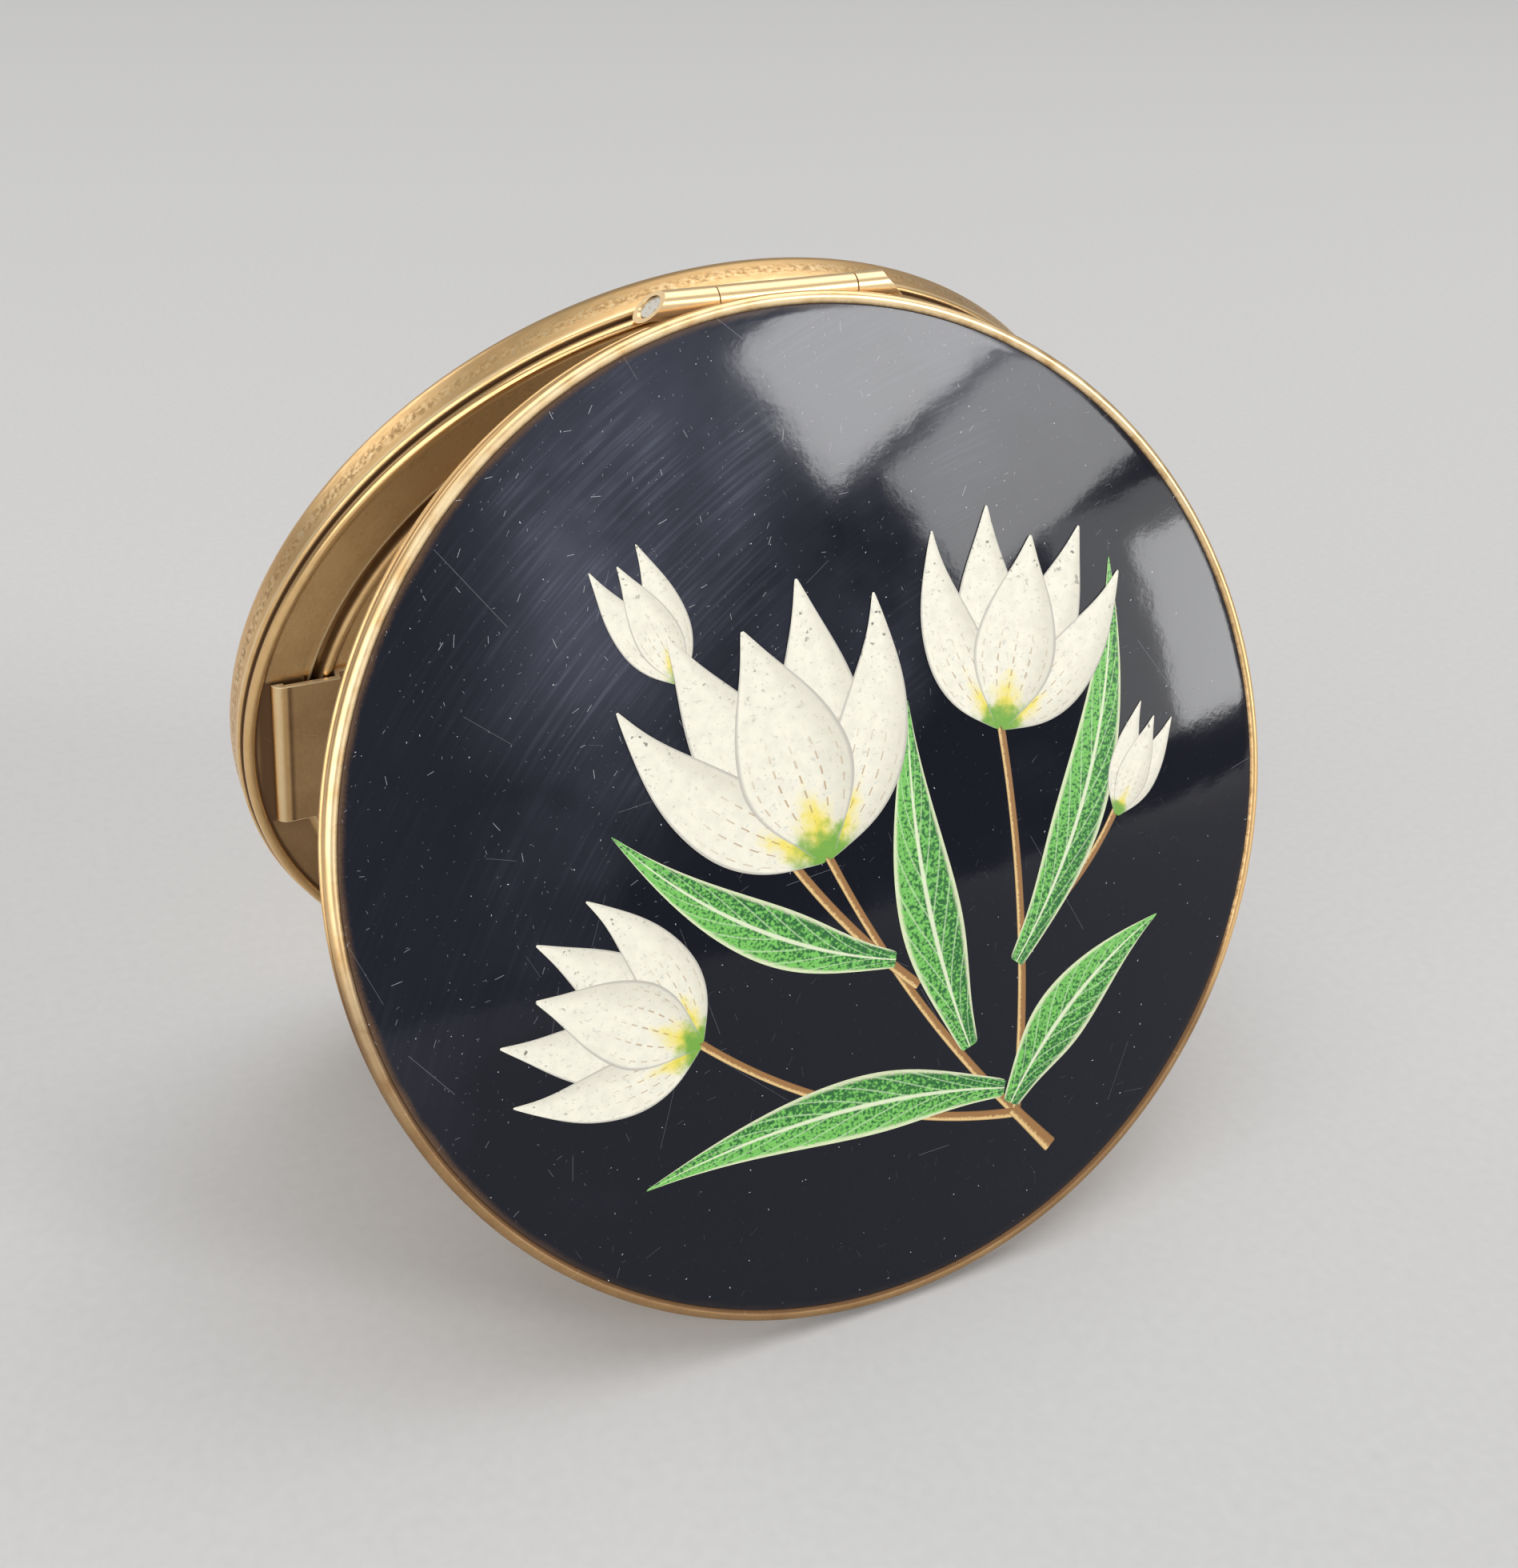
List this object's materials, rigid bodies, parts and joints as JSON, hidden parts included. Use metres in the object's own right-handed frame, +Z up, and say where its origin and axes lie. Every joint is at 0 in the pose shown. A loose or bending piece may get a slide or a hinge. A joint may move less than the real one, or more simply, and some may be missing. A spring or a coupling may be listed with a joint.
{
  "type": "compact mirror",
  "caption": "Round hinged vanity compact in brass with a black enamel lid and a mirror inside it, standing open like a tent.",
  "frame": {"origin": "on the standing surface, under the middle of the open compact", "axes": "+X along the hinge, +Y from the lid towards the base, +Z up; the lid's enamel face looks towards -Y and up"},
  "size_m": [0.0808, 0.0598, 0.077],
  "materials": {
    "satin_brass": "satin, worn along the edges",
    "polished_brass": "polished and lightly tarnished",
    "pin_metal": "bright wire",
    "black_enamel": "glossy, finely scratched",
    "mirror": "silvered glass",
    "card": "grey card",
    "gauze": "fine woven gauze"
  },
  "bodies": {
    "base": {"base_shell": "satin_brass", "base_frame": "polished_brass", "powder_pan": "polished_brass", "sifter_ring": "polished_brass", "sifter_net": "gauze", "powder_cover": "polished_brass", "cover_lift_tab": "polished_brass", "catch_spring": "polished_brass", "catch_rivets": "polished_brass", "base_knuckle_left": "polished_brass", "base_knuckle_right": "polished_brass", "hinge_pin": "pin_metal"},
    "lid": {"lid_shell": "polished_brass", "lid_enamel": "black_enamel", "lid_knuckle": "polished_brass", "mirror_glass": "mirror", "mirror_backing": "card", "mirror_bezel": "polished_brass", "catch_hook": "polished_brass"}
  },
  "joints": [
    {"name": "lid_hinge", "type": "hinge", "parent": "base", "child": "lid", "pos_m": [0, -0.00127, 0.07534], "axis": [-1, 0, 0], "range_deg": [-39, 81]}
  ]
}
